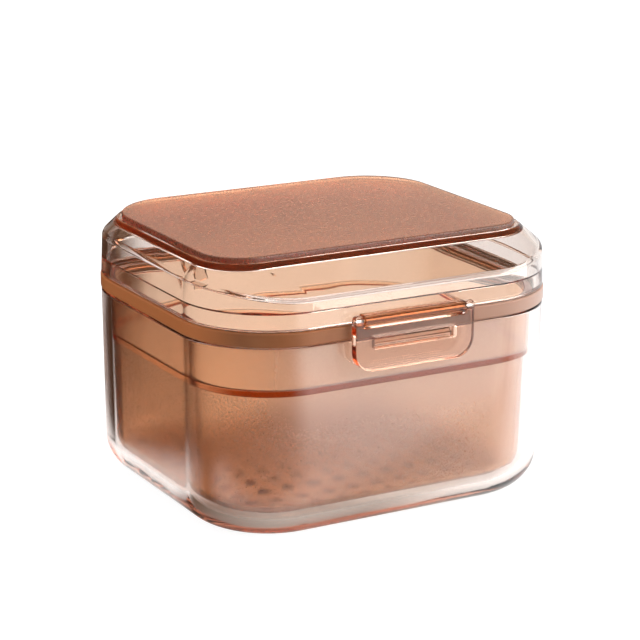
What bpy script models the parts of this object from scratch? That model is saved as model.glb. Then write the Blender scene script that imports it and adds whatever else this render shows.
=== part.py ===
"""Clear tinted case for an orthodontic retainer or a denture.

A thick-walled box carries a soft seal band round its neck and a drainable strainer
basket on a ledge. A bevelled lid turns on a pin at the back and is held shut by a
slotted latch at the front. Metres, +Z up; the front with the latch faces -Y, and the
origin is on the table, in the middle of the space that the closed case takes up.
"""
import math

import bmesh
import bpy
from mathutils import Matrix, Vector

# Case as a whole
case_width = 0.098
case_depth = 0.0865
corner_radius = 0.0232
seat_gap = 0.0003
cut_overrun = 0.001
root_sink = 0.0006

# Outer box
rim_height = 0.0484
foot_round = 0.0095
box_draft = 0.0005
box_wall = 0.0027
box_floor = 0.0034
floor_round = 0.0060
neck_rise = 0.0035
neck_wall = 0.0009
ledge_drop = 0.0019

# Seal band round the neck of the box
band_height = 0.0036
band_wall = 0.0010
band_proud = 0.0002
band_edge_round = 0.0003

# Strainer basket
flange_thickness = 0.0012
basket_wall = 0.0014
basket_side_gap = 0.0003
collar_depth = 0.0143
step_width = 0.0012
basket_clearance = 0.0015
basket_draft = 0.0008
basket_foot_round = 0.0050
drain_diameter = 0.0030
drain_pitch = 0.0068
drain_margin = 0.0064

# Lid
side_wall_rise = 0.0100
front_wall_rise = 0.0074
top_rise = 0.0137
lid_draft = 0.0004
side_bevel = 0.0044
front_bevel = 0.0126
front_top_radius = 0.0119
back_top_radius = 0.0182
lid_foot_wall = 0.0019
lid_foot_height = 0.0036
lid_wall = 0.0015
lid_top_wall = 0.0016

# Frosted panel let into the top of the lid
panel_land = 0.0009
panel_recess = 0.0004
panel_thickness = 0.0014
panel_edge_round = 0.0004

# Front latch, its pin and the catch on the box
latch_width = 0.0328
latch_length = 0.0124
latch_thickness = 0.0023
latch_corner = 0.0050
latch_barrel_radius = 0.0014
latch_axis_rise = 0.0008
slot_width = 0.0228
slot_height = 0.0029
slot_lift = 0.0053
catch_side_gap = 0.0006
catch_play = 0.0005
catch_height = 0.0014
catch_reach = 0.0016
catch_chamfer = 0.0008
cheek_width = 0.0022
latch_pin_radius = 0.00055
latch_pin_inset = 0.0004
pin_clearance = 0.0001

# Back hinge and its pin
hinge_span = 0.0330
hinge_offset = 0.0030
hinge_barrel_radius = 0.0024
box_knuckle_width = 0.0056
box_arm_drop = 0.0095
lid_arm_rise = 0.0052
hinge_pin_radius = 0.0010
hinge_pin_inset = 0.0005

# Steps per corner arc, per edge round and per turned piece
corner_steps = 9
round_steps = 4
turn_steps = 24
drain_steps = 8

# Heights that follow from the stack of box, band and lid
half_width = case_width / 2
half_depth = case_depth / 2
neck_top = rim_height + neck_rise
ledge_height = neck_top - ledge_drop
band_low = rim_height + seat_gap
band_top = band_low + band_height
lid_low = band_top + seat_gap
side_shoulder = lid_low + side_wall_rise
front_shoulder = lid_low + front_wall_rise
lid_top = lid_low + top_rise
panel_seat = lid_top - panel_recess
lid_ceiling = panel_seat - lid_top_wall

# How far each wall face lies inside the outer face of the case
band_inner_inset = band_wall - band_proud
neck_inset = band_inner_inset + seat_gap
pocket_inset = neck_inset + neck_wall
flange_inset = pocket_inset + seat_gap
collar_inset = box_wall + basket_side_gap
tub_inset = collar_inset + step_width

# Hinge and latch axes
hinge_y = half_depth + hinge_offset
hinge_z = (band_top + lid_low) / 2
latch_y = -(half_depth + seat_gap + latch_barrel_radius)
latch_z = lid_low + latch_axis_rise
latch_back = -(half_depth + band_proud + seat_gap)
latch_low = latch_z - latch_length
slot_low = latch_low + slot_lift

# The case stands off the origin by half the difference of its two overhangs
front_reach = -latch_y + latch_barrel_radius
back_reach = hinge_y + hinge_barrel_radius
case_y = (front_reach - back_reach) / 2


def clear_scene():
    for obj in list(bpy.data.objects):
        bpy.data.objects.remove(obj, do_unlink=True)


def new_collection(name):
    collection = bpy.data.collections.new(name)
    bpy.context.scene.collection.children.link(collection)
    return collection


def material(name, color, roughness, metallic=0.0, transmission=0.0):
    made = bpy.data.materials.new(name)
    made.use_nodes = True
    shader = made.node_tree.nodes["Principled BSDF"]
    shader.inputs["Base Color"].default_value = (*color, 1)
    shader.inputs["Roughness"].default_value = roughness
    shader.inputs["Metallic"].default_value = metallic
    shader.inputs["Transmission Weight"].default_value = transmission
    made.diffuse_color = (*color, 1)
    return made


def object_from(bm, name, collection):
    bmesh.ops.recalc_face_normals(bm, faces=bm.faces)
    mesh = bpy.data.meshes.new(name)
    bm.to_mesh(mesh)
    bm.free()
    obj = bpy.data.objects.new(name, mesh)
    collection.objects.link(obj)
    return obj


def cutter_look(obj):
    obj.hide_render = True
    obj.display_type = "WIRE"
    return obj


def boolean(obj, tool, operation):
    modifier = obj.modifiers.new(f"{operation.lower()} {tool.name}", "BOOLEAN")
    modifier.operation = operation
    modifier.object = tool


def cube_between(low, high):
    """Cube primitive stretched between two opposite corners."""
    bm = bmesh.new()
    bmesh.ops.create_cube(bm, size=1)
    size = Vector(high) - Vector(low)
    middle = (Vector(high) + Vector(low)) / 2
    bmesh.ops.scale(bm, vec=size, verts=bm.verts)
    bmesh.ops.translate(bm, vec=middle, verts=bm.verts)
    return bm


def block(name, low, high, collection):
    return object_from(cube_between(low, high), name, collection)


def edges_where(bm, test):
    return [edge for edge in bm.edges if all(test(vert.co) for vert in edge.verts)]


def upright_edges(bm, low, high):
    half = (high - low) / 2
    return [edge for edge in bm.edges if abs(edge.verts[0].co.z - edge.verts[1].co.z) > half]


def rounded_block(name, inset, low, high, collection, draft=0, foot=0, edge=0):
    """Upright block that follows the case's rounded outline, set in by inset.

    draft narrows it towards its lower end, foot rounds its lower edge, and edge
    rounds both edges.
    """
    width = half_width - inset
    depth = half_depth - inset
    bm = cube_between((-width, -depth, low), (width, depth, high))
    bmesh.ops.bevel(
        bm, geom=upright_edges(bm, low, high), offset=corner_radius - inset,
        segments=corner_steps, profile=0.5, affect="EDGES", clamp_overlap=False)
    middle = (low + high) / 2
    if foot:
        rim = edges_where(bm, lambda co: co.z < middle)
        bmesh.ops.bevel(bm, geom=rim, offset=foot, segments=round_steps, profile=0.5, affect="EDGES")
    if edge:
        rim = edges_where(bm, lambda co: co.z < middle) + edges_where(bm, lambda co: co.z > middle)
        bmesh.ops.bevel(bm, geom=rim, offset=edge, segments=2, profile=0.5, affect="EDGES")
    for vert in bm.verts:
        narrowing = draft * (high - vert.co.z) / (high - low)
        vert.co.x *= 1 - narrowing / width
        vert.co.y *= 1 - narrowing / depth
    return object_from(bm, name, collection)


def turned_rod(name, radius, x_low, x_high, y, z, collection, steps=turn_steps):
    """Cylinder primitive lying along X."""
    bm = bmesh.new()
    bmesh.ops.create_cone(
        bm, cap_ends=True, segments=steps, radius1=radius, radius2=radius, depth=x_high - x_low)
    bmesh.ops.rotate(bm, matrix=Matrix.Rotation(math.pi / 2, 3, "Y"), verts=bm.verts)
    bmesh.ops.translate(bm, vec=((x_low + x_high) / 2, y, z), verts=bm.verts)
    return object_from(bm, name, collection)


def slab(name, outline, x_low, x_high, collection):
    """Flat outline in Y and Z, drawn as a filled 2D curve and made x_high - x_low wide."""
    curve = bpy.data.curves.new(name, "CURVE")
    curve.dimensions = "2D"
    curve.fill_mode = "BOTH"
    curve.extrude = (x_high - x_low) / 2
    spline = curve.splines.new("POLY")
    spline.points.add(len(outline) - 1)
    spline.use_cyclic_u = True
    for point, (y, z) in zip(spline.points, outline):
        point.co = (y, z, 0, 1)
    drawn = bpy.data.objects.new(name, curve)
    collection.objects.link(drawn)
    bpy.context.view_layer.update()
    mesh = bpy.data.meshes.new_from_object(drawn.evaluated_get(bpy.context.evaluated_depsgraph_get()))
    bpy.data.objects.remove(drawn, do_unlink=True)
    bm = bmesh.new()
    bm.from_mesh(mesh)
    bmesh.ops.remove_doubles(bm, verts=bm.verts, dist=seat_gap / 100)
    middle = (x_low + x_high) / 2
    turn = Matrix(((0, 0, 1, middle), (1, 0, 0, 0), (0, 1, 0, 0), (0, 0, 0, 1)))
    bmesh.ops.transform(bm, matrix=turn, verts=bm.verts)
    return object_from(bm, name, collection)


def arc(center, radius, start, end, steps):
    """Points on an arc in Y and Z, with angles in degrees from +Y towards +Z."""
    angles = [math.radians(start + (end - start) * step / steps) for step in range(steps + 1)]
    return [(center[0] + radius * math.cos(a), center[1] + radius * math.sin(a)) for a in angles]


def lid_outline(side, front, back, radius_front, radius_back, z_side, z_front):
    """Rounded outline set in from the case by side, front and back.

    Its height is z_front along the front and z_side elsewhere, and eases from one to
    the other round the two front corners.
    """
    x = half_width - side
    y_front = -half_depth + front
    y_back = half_depth - back
    corners = [
        (x - radius_back, y_back - radius_back, radius_back, 0),
        (-x + radius_back, y_back - radius_back, radius_back, 90),
        (-x + radius_front, y_front + radius_front, radius_front, 180),
        (x - radius_front, y_front + radius_front, radius_front, 270)]
    points = []
    for cx, cy, radius, start in corners:
        for step in range(corner_steps + 1):
            turn = step / corner_steps
            angle = math.radians(start + 90 * turn)
            share = {180: turn, 270: 1 - turn}.get(start, 0)
            eased_share = (1 - math.cos(math.pi * share)) / 2
            z = z_side + (z_front - z_side) * eased_share
            points.append((cx + radius * math.cos(angle), cy + radius * math.sin(angle), z))
    return points


def loft(name, outlines, collection):
    """Closed solid through a stack of outlines that have equally many points."""
    bm = bmesh.new()
    rings = [[bm.verts.new(point) for point in outline] for outline in outlines]
    count = len(rings[0])
    for lower, upper in zip(rings, rings[1:]):
        for i in range(count):
            j = (i + 1) % count
            bm.faces.new((lower[i], lower[j], upper[j], upper[i]))
    bm.faces.new(list(reversed(rings[0])))
    bm.faces.new(rings[-1])
    bmesh.ops.triangulate(bm, faces=bm.faces)
    return object_from(bm, name, collection)


def level_outline(inset, z):
    radius = corner_radius - inset
    return lid_outline(inset, inset, inset, radius, radius, z, z)


def shade_round(obj):
    obj.data.shade_smooth()
    obj.data.set_sharp_from_angle(angle=math.radians(35))


def finish(obj, look, carrier, place):
    """Gives a piece its material and hangs it on the empty that it moves with."""
    obj.data.materials.clear()
    obj.data.materials.append(look)
    shade_round(obj)
    obj.parent = carrier
    obj.location = -place


def axis_empty(name, place, collection, parent=None):
    """Empty that carries the pieces turning or sliding about it."""
    empty = bpy.data.objects.new(name, None)
    empty.empty_display_size = latch_length
    empty.parent = parent
    empty.location = place
    collection.objects.link(empty)
    return empty


def outer_box(parts, cutters):
    """Thick clear box: body, neck, basket ledge, catch rib and two hinge knuckles."""
    body = rounded_block("outer_box", 0, 0, rim_height, parts, draft=box_draft, foot=foot_round)
    neck_low = rim_height - floor_round
    neck = rounded_block("box_neck", neck_inset, neck_low, neck_top, cutters)
    pocket = rounded_block("basket_pocket", pocket_inset, ledge_height, neck_top + cut_overrun, cutters)
    hollow = rounded_block(
        "box_hollow", box_wall, box_floor, ledge_height + cut_overrun, cutters,
        draft=box_draft, foot=floor_round)
    boolean(body, cutter_look(neck), "UNION")
    boolean(body, cutter_look(pocket), "DIFFERENCE")
    boolean(body, cutter_look(hollow), "DIFFERENCE")

    catch_half = slot_width / 2 - catch_side_gap
    catch_low = slot_low + catch_play
    catch_high = catch_low + catch_height
    catch_front = -half_depth - catch_reach
    bm = cube_between(
        (-catch_half, catch_front, catch_low), (catch_half, -half_depth + root_sink, catch_high))
    middle = (catch_low + catch_high) / 2
    nose = edges_where(bm, lambda co: co.z > middle and co.y < -half_depth)
    bmesh.ops.bevel(bm, geom=nose, offset=catch_chamfer, segments=1, profile=0.5, affect="EDGES")
    catch = object_from(bm, "catch_rib", cutters)
    boolean(body, cutter_look(catch), "UNION")

    axis = (hinge_y, hinge_z)
    inner_face = hinge_y - hinge_barrel_radius
    arm_high = rim_height - root_sink
    outline = [
        (half_depth - root_sink - box_draft, hinge_z - box_arm_drop),
        (half_depth + root_sink, hinge_z - box_arm_drop),
        *arc(axis, hinge_barrel_radius, -30, 180, turn_steps // 2),
        (inner_face, arm_high),
        (half_depth - root_sink - box_draft, arm_high)]
    outer = hinge_span / 2
    inner = outer - box_knuckle_width
    for side, low, high in (("left", -outer, -inner), ("right", inner, outer)):
        arm = slab(f"box_knuckle_{side}", outline, low, high, cutters)
        boolean(body, cutter_look(arm), "UNION")
    bore = turned_rod(
        "hinge_bore", hinge_pin_radius + pin_clearance, -outer - cut_overrun, outer + cut_overrun,
        hinge_y, hinge_z, cutters)
    boolean(body, cutter_look(bore), "DIFFERENCE")
    return body


def seal_band(parts, cutters):
    """Soft band round the neck, a little proud of the walls above and below it."""
    band = rounded_block("seal_band", -band_proud, band_low, band_top, parts, edge=band_edge_round)
    inside = rounded_block(
        "band_inside", band_inner_inset, band_low - cut_overrun, band_top + cut_overrun, cutters)
    boolean(band, cutter_look(inside), "DIFFERENCE")
    return band


def drain_holes(name, flat_width, flat_depth, low, high, collection):
    """Square grid of round pegs that fits inside the flat of the basket's floor."""
    columns = int((flat_width - drain_margin) / drain_pitch)
    rows = int((flat_depth - drain_margin) / drain_pitch)
    bm = bmesh.new()
    for column in range(-columns, columns + 1):
        for row in range(-rows, rows + 1):
            place = Matrix.Translation((column * drain_pitch, row * drain_pitch, (low + high) / 2))
            bmesh.ops.create_cone(
                bm, cap_ends=True, segments=drain_steps, radius1=drain_diameter / 2,
                radius2=drain_diameter / 2, depth=high - low, matrix=place)
    return object_from(bm, name, collection)


def strainer_basket(parts, cutters):
    """Frosted basket: flange on the box's ledge, collar, step, tub and drained floor."""
    flange_low = ledge_height + seat_gap
    flange_high = flange_low + flange_thickness
    step_low = flange_low - collar_depth
    floor_low = box_floor + basket_clearance
    floor_high = floor_low + basket_wall
    basket = rounded_block(
        "strainer_basket", tub_inset, floor_low, step_low + basket_wall / 2, parts,
        draft=basket_draft, foot=basket_foot_round)
    collar_draft = box_draft * collar_depth / (ledge_height - box_floor)
    collar = rounded_block(
        "basket_collar", collar_inset, step_low, flange_low + flange_thickness / 2, cutters,
        draft=collar_draft)
    flange = rounded_block("basket_flange", flange_inset, flange_low, flange_high, cutters)
    collar_hollow = rounded_block(
        "collar_hollow", collar_inset + basket_wall, step_low + basket_wall,
        flange_high + cut_overrun, cutters, draft=collar_draft)
    tub_hollow = rounded_block(
        "tub_hollow", tub_inset + basket_wall, floor_high, step_low + basket_wall + cut_overrun, cutters,
        draft=basket_draft, foot=basket_foot_round - basket_wall)
    boolean(basket, cutter_look(collar), "UNION")
    boolean(basket, cutter_look(flange), "UNION")
    boolean(basket, cutter_look(collar_hollow), "DIFFERENCE")
    boolean(basket, cutter_look(tub_hollow), "DIFFERENCE")
    margin = tub_inset + basket_draft + basket_foot_round
    holes = drain_holes(
        "drain_holes", half_width - margin, half_depth - margin,
        floor_low - cut_overrun, floor_high + cut_overrun, cutters)
    boolean(basket, cutter_look(holes), "DIFFERENCE")
    return basket


def bevel_inside(inset_top, rise, wall):
    """Drop of the bevel's inner face below its outer face, and the bevel's slope."""
    slope = rise / inset_top
    return wall * math.sqrt(1 + slope * slope), slope


def lid_shell(parts, cutters):
    """Clear lid: upright wall, bevels that are broadest in front, recess and two knuckles."""
    top = lid_outline(
        side_bevel, front_bevel, side_bevel, front_top_radius, back_top_radius, lid_top, lid_top)
    shoulder_radius = corner_radius - lid_draft
    shoulder = lid_outline(
        lid_draft, lid_draft, lid_draft, shoulder_radius, shoulder_radius, side_shoulder, front_shoulder)
    shell = loft("lid_shell", [level_outline(0, lid_low), shoulder, top], parts)

    side_drop, side_slope = bevel_inside(
        side_bevel - lid_draft, lid_top - side_shoulder, lid_top_wall)
    front_drop, front_slope = bevel_inside(
        front_bevel - lid_draft, lid_top - front_shoulder, lid_top_wall)
    inner_side = side_shoulder + lid_wall * side_slope - side_drop
    inner_front = front_shoulder + lid_wall * front_slope - front_drop
    ceiling_side = side_bevel - (lid_top - lid_ceiling - side_drop) / side_slope
    ceiling_front = front_bevel - (lid_top - lid_ceiling - front_drop) / front_slope
    wall_inset = lid_draft + lid_wall
    wall_radius = corner_radius - wall_inset
    hollow = loft("lid_hollow", [
        level_outline(lid_wall, lid_low + lid_foot_height),
        lid_outline(
            wall_inset, wall_inset, wall_inset, wall_radius, wall_radius, inner_side, inner_front),
        lid_outline(ceiling_side, ceiling_front, ceiling_side, front_top_radius, back_top_radius,
                    lid_ceiling, lid_ceiling)], cutters)
    mouth = loft("lid_mouth", [
        level_outline(lid_foot_wall, lid_low - cut_overrun),
        level_outline(lid_foot_wall, lid_low + lid_foot_height + cut_overrun)], cutters)
    recess = loft("panel_recess", [
        panel_outline(0, panel_seat), panel_outline(0, lid_top + cut_overrun)], cutters)
    for tool in (hollow, mouth, recess):
        boolean(shell, cutter_look(tool), "DIFFERENCE")

    axis = (hinge_y, hinge_z)
    inner_face = hinge_y - hinge_barrel_radius
    knuckle_outline = [
        (half_depth - root_sink, hinge_z + lid_arm_rise),
        (half_depth - root_sink, lid_low + seat_gap),
        (inner_face, lid_low + seat_gap),
        *arc(axis, hinge_barrel_radius, 180, 405, turn_steps // 2),
        (half_depth + root_sink, hinge_z + lid_arm_rise)]
    knuckle_half = hinge_span / 2 - box_knuckle_width - seat_gap
    knuckle = slab("lid_knuckle", knuckle_outline, -knuckle_half, knuckle_half, cutters)
    boolean(shell, cutter_look(knuckle), "UNION")

    root = -half_depth + root_sink
    barrel_top = latch_z + latch_barrel_radius
    latch_knuckle_outline = [
        (root, lid_low + seat_gap),
        (root, barrel_top),
        *arc((latch_y, latch_z), latch_barrel_radius, 90, 330, turn_steps // 2),
        (latch_y + latch_barrel_radius, lid_low + seat_gap)]
    latch_knuckle_half = latch_width / 2 - cheek_width - seat_gap
    latch_knuckle = slab(
        "latch_knuckle", latch_knuckle_outline, -latch_knuckle_half, latch_knuckle_half, cutters)
    boolean(shell, cutter_look(latch_knuckle), "UNION")
    hinge_bore = turned_rod(
        "lid_hinge_bore", hinge_pin_radius + pin_clearance, -half_width, half_width,
        hinge_y, hinge_z, cutters)
    latch_bore = turned_rod(
        "lid_latch_bore", latch_pin_radius + pin_clearance, -half_width, half_width,
        latch_y, latch_z, cutters)
    boolean(shell, cutter_look(hinge_bore), "DIFFERENCE")
    boolean(shell, cutter_look(latch_bore), "DIFFERENCE")
    return shell


def panel_outline(gap, z):
    """Outline of the recess in the lid's top, or of the panel that fills it with a gap."""
    land = panel_land + gap
    return lid_outline(
        side_bevel + land, front_bevel + land, side_bevel + land,
        front_top_radius - land, back_top_radius - land, z, z)


def lid_top_panel(parts):
    """Frosted panel let into the lid, standing proud of the bevels."""
    low = panel_seat + seat_gap
    high = low + panel_thickness
    outlines = [panel_outline(seat_gap, low), panel_outline(seat_gap, high - panel_edge_round)]
    for step in range(1, round_steps + 1):
        angle = math.pi / 2 * step / round_steps
        inset = panel_edge_round * (1 - math.cos(angle))
        rise = panel_edge_round * math.sin(angle)
        outlines.append(panel_outline(seat_gap + inset, high - panel_edge_round + rise))
    return loft("lid_top_panel", outlines, parts)


def front_latch(parts, cutters):
    """Clear flap with a slot for the catch, turning by two cheeks beside the lid's knuckle."""
    half = latch_width / 2
    front = latch_back - latch_thickness
    bm = cube_between((-half, front, latch_low), (half, latch_back, latch_z))
    middle = (latch_low + latch_z) / 2
    for side in (-1, 1):
        corner = edges_where(bm, lambda co: co.z < middle and co.x * side > 0)
        bmesh.ops.bevel(
            bm, geom=corner, offset=latch_corner, segments=corner_steps - 1, profile=0.5, affect="EDGES")
    flap = object_from(bm, "front_latch", parts)
    barrel = turned_rod("latch_barrel", latch_barrel_radius, -half, half, latch_y, latch_z, cutters)
    boolean(flap, cutter_look(barrel), "UNION")
    slot = block(
        "latch_slot", (-slot_width / 2, front - cut_overrun, slot_low),
        (slot_width / 2, latch_back + cut_overrun, slot_low + slot_height), cutters)
    boolean(flap, cutter_look(slot), "DIFFERENCE")
    notch_half = half - cheek_width
    notch = block(
        "knuckle_notch",
        (-notch_half, front - cut_overrun, latch_z - latch_barrel_radius - seat_gap),
        (notch_half, latch_back + cut_overrun, latch_z + latch_barrel_radius + cut_overrun), cutters)
    boolean(flap, cutter_look(notch), "DIFFERENCE")
    bore = turned_rod(
        "latch_bore", latch_pin_radius + pin_clearance, -half - cut_overrun, half + cut_overrun,
        latch_y, latch_z, cutters)
    boolean(flap, cutter_look(bore), "DIFFERENCE")
    return flap


def main():
    clear_scene()
    parts = new_collection("orthodontic organizer")
    cutters = new_collection("cutters")
    clear = material("clear rose plastic", (0.93, 0.66, 0.52), 0.04, transmission=1.0)
    frosted = material("frosted rose plastic", (0.80, 0.50, 0.36), 0.45, transmission=0.6)
    soft = material("soft mauve silicone", (0.45, 0.32, 0.27), 0.40)
    steel = material("pin steel", (0.62, 0.61, 0.60), 0.25, metallic=1.0)

    middle = Vector((0, 0, 0))
    lid_place = Vector((0, hinge_y, hinge_z))
    latch_place = Vector((0, latch_y, latch_z))
    basket_place = Vector((0, 0, ledge_height))
    datum = axis_empty("case_datum", Vector((0, case_y, 0)), parts)
    lid_axis = axis_empty("lid_axis", lid_place, parts, datum)
    latch_axis = axis_empty("latch_axis", latch_place - lid_place, parts, lid_axis)
    basket_axis = axis_empty("basket_axis", basket_place, parts, datum)

    hinge_pin = turned_rod(
        "hinge_pin", hinge_pin_radius, -hinge_span / 2 + hinge_pin_inset,
        hinge_span / 2 - hinge_pin_inset, hinge_y, hinge_z, parts)
    latch_pin = turned_rod(
        "latch_pin", latch_pin_radius, -latch_width / 2 + latch_pin_inset,
        latch_width / 2 - latch_pin_inset, latch_y, latch_z, parts)
    finish(outer_box(parts, cutters), clear, datum, middle)
    finish(seal_band(parts, cutters), soft, datum, middle)
    finish(hinge_pin, steel, datum, middle)
    finish(strainer_basket(parts, cutters), frosted, basket_axis, basket_place)
    finish(lid_shell(parts, cutters), clear, lid_axis, lid_place)
    finish(lid_top_panel(parts), frosted, lid_axis, lid_place)
    finish(latch_pin, steel, lid_axis, lid_place)
    finish(front_latch(parts, cutters), clear, latch_axis, latch_place)
    for cutter in cutters.objects:
        cutter.parent = datum


main()
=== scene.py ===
# %% [markdown]
# This lesson dresses a tinted case for a retainer or a denture: a clear outer box, a frosted
# basket with drain holes, a soft seal band, a bevelled lid with a frosted panel, and a latch.
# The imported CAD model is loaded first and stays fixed. It says where each piece is and how it
# moves, so every finer piece made here takes its place and rides on the same body.

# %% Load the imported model
import math

import bmesh
import bpy
from mathutils import Matrix, Quaternion, Vector


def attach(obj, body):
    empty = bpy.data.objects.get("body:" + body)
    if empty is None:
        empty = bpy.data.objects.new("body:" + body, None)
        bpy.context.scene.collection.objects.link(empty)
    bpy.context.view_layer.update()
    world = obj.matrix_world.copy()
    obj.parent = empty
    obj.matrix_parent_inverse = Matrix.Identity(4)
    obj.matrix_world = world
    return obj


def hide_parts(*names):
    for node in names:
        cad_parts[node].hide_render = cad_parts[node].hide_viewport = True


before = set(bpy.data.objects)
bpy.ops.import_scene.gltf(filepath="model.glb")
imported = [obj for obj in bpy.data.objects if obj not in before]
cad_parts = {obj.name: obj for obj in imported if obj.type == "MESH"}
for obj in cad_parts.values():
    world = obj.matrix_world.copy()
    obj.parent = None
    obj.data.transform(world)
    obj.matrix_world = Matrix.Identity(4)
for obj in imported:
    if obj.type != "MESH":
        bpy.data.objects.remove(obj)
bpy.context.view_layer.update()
scene = bpy.context.scene
print("nodes:", sorted(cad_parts))

# %% [markdown]
# The camera comes first, because every piece is judged through it. The photograph was taken
# from the left front and a little above, with a long lens. A camera fitted to the case's
# outlines gives its place, and a small shift puts the case as low in the frame as it is there.

# %% Camera
MM = 0.001

CAMERA_PLACE = Vector((-278.5, -491.4, 201.1)) * MM
CAMERA_AIM = Vector((0, -1.15, 31.36)) * MM
LENS = 130.08
SENSOR = 36.0
SHIFT_X = 0.0004
SHIFT_Y = 0.0539
ROLL = math.radians(0.39)
NEAREST = 10 * MM


def place_camera():
    lens = bpy.data.cameras.new("camera")
    lens.lens = LENS
    lens.sensor_width = SENSOR
    lens.shift_x = SHIFT_X
    lens.shift_y = SHIFT_Y
    lens.clip_start = NEAREST
    camera = bpy.data.objects.new("camera", lens)
    camera.location = CAMERA_PLACE
    straight = (CAMERA_AIM - CAMERA_PLACE).to_track_quat("-Z", "Y")
    camera.rotation_euler = (straight @ Quaternion((0, 0, 1), ROLL)).to_euler()
    scene.collection.objects.link(camera)
    scene.camera = camera


place_camera()
print("camera at", tuple(round(value, 3) for value in scene.camera.location))

# %% [markdown]
# The box, the band and the basket all follow one rounded outline, set in by different amounts.
# So a wall is drawn once, as a section, and swept round the case. The section is a chain of
# edges whose corners are rounded with a vertex bevel. Spin turns it round each of the four
# corners, and an extrusion carries it along each straight side. A curve with a bevel object
# could do the same, but it would have to become a mesh before its floor can be closed.

# %% Outline of the case
CASE_MIDDLE = Vector((0, -1.15, 0)) * MM
HALF_WIDTH = 49.0 * MM
HALF_DEPTH = 43.25 * MM
CORNER_RADIUS = 23.2 * MM
CORNER_STEPS = 28
EDGE_STEPS = 3
ROUND_STEPS = 4
LEAST_STEPS = 4
STEP_LENGTH = 0.6 * MM
JOIN = 0.002 * MM


def only(kind, parts):
    return [part for part in parts if isinstance(part, kind)]


def rounding_steps(radius):
    return LEAST_STEPS + int(radius / STEP_LENGTH)


def round_corners(bm, verts, radius, steps):
    bmesh.ops.bevel(
        bm, geom=verts, offset=radius, segments=steps, profile=0.5, affect="VERTICES", material=-1)


def round_edges(bm, edges, radius, steps=ROUND_STEPS):
    bmesh.ops.bevel(
        bm, geom=edges, offset=radius, segments=steps, profile=0.5, affect="EDGES", material=-1)


def draw_section(bm, points, closed=False):
    """Draws a wall's section on the right side of the case.

    Each point is (inset from the outer face, height, radius of the rounding).
    """
    start = CORNER_RADIUS - HALF_DEPTH
    verts = [bm.verts.new((HALF_WIDTH - inset, start, height)) for inset, height, _ in points]
    for pair in zip(verts, verts[1:]):
        bm.edges.new(pair)
    if closed:
        bm.edges.new((verts[-1], verts[0]))
    for vert, (_, _, radius) in zip(verts, points):
        if radius:
            round_corners(bm, [vert], radius, rounding_steps(radius))


def sweep_round_case(bm):
    """Carries the section along the sides and spins it round the corners."""
    x = HALF_WIDTH - CORNER_RADIUS
    y = HALF_DEPTH - CORNER_RADIUS
    end = list(bm.edges)
    for turn, corner in enumerate(((x, y), (-x, y), (-x, -y), (x, -y))):
        run = 2 * (x if turn % 2 else y)
        ahead = Matrix.Rotation(math.radians(90 * turn), 3, "Z") @ Vector((0, run, 0))
        drawn = bmesh.ops.extrude_edge_only(bm, edges=end)["geom"]
        moved = only(bmesh.types.BMVert, drawn)
        bmesh.ops.translate(bm, vec=ahead, verts=moved)
        kept = set(moved)
        far = [edge for edge in only(bmesh.types.BMEdge, drawn) if kept.issuperset(edge.verts)]
        turned = bmesh.ops.spin(
            bm, geom=moved + far, cent=(*corner, 0), axis=(0, 0, 1), dvec=(0, 0, 0),
            angle=math.radians(90), steps=CORNER_STEPS)
        end = only(bmesh.types.BMEdge, turned["geom_last"])
    bmesh.ops.remove_doubles(bm, verts=bm.verts, dist=JOIN)
    bmesh.ops.holes_fill(bm, edges=[edge for edge in bm.edges if edge.is_boundary], sides=0)


print("case outline, mm:", 2 * HALF_WIDTH / MM, "by", 2 * HALF_DEPTH / MM)

# %% [markdown]
# A finished mesh stands in the frame as the CAD nodes do: its object at the origin, its place
# in its vertices. Flat faces next to small roundings need normals weighted by area, or clear
# plastic bends what is seen through a flat wall. Boolean joins are applied at once, so that no
# cutting tool is left in the scene.

# %% Turn a mesh into a piece
SHARP_ANGLE = math.radians(32)


def mesh_object(bm, name):
    bmesh.ops.remove_doubles(bm, verts=bm.verts, dist=JOIN)
    bmesh.ops.recalc_face_normals(bm, faces=bm.faces)
    bmesh.ops.translate(bm, vec=CASE_MIDDLE, verts=bm.verts)
    mesh = bpy.data.meshes.new(name)
    bm.to_mesh(mesh)
    bm.free()
    piece = bpy.data.objects.new(name, mesh)
    scene.collection.objects.link(piece)
    return piece


def combine(piece, tool, operation):
    """Joins tool to piece, or cuts it out, and removes the tool."""
    modifier = piece.modifiers.new("combine", "BOOLEAN")
    modifier.operation = operation
    modifier.solver = "EXACT"
    modifier.object = tool
    bpy.context.view_layer.update()
    graph = bpy.context.evaluated_depsgraph_get()
    joined = bpy.data.meshes.new_from_object(piece.evaluated_get(graph))
    piece.modifiers.remove(modifier)
    joined.name = piece.data.name
    piece.data = joined
    bpy.data.objects.remove(tool, do_unlink=True)


def finish_piece(piece, look, body, node):
    piece.data.materials.clear()
    piece.data.materials.append(look.material)
    piece.data.shade_smooth()
    piece.data.set_sharp_from_angle(angle=SHARP_ANGLE)
    normals = piece.modifiers.new("even normals", "WEIGHTED_NORMAL")
    normals.keep_sharp = True
    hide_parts(node)
    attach(piece, body)
    piece.data.calc_loop_triangles()
    print(piece.name, "has", len(piece.data.loop_triangles), "triangles")


# %% [markdown]
# Every finish here is a tree of nodes, and most of a tree is the same few steps: a noise on
# the piece's own coordinates, a value brought to another range, a mix by a share. They could be
# drawn by hand in the editor. In a script, a small class that adds a node with its settings
# and its inputs at once keeps each finish short enough to read. An input takes a plain value
# or another node's output.

# %% Nodes and looks
NOISE_MIDDLE = (0.3, 0.7)
MIX_SOCKETS = {"FLOAT": (0, 2, 3), "RGBA": (0, 6, 7)}
MIX_RESULTS = {"FLOAT": 0, "RGBA": 2}


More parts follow.
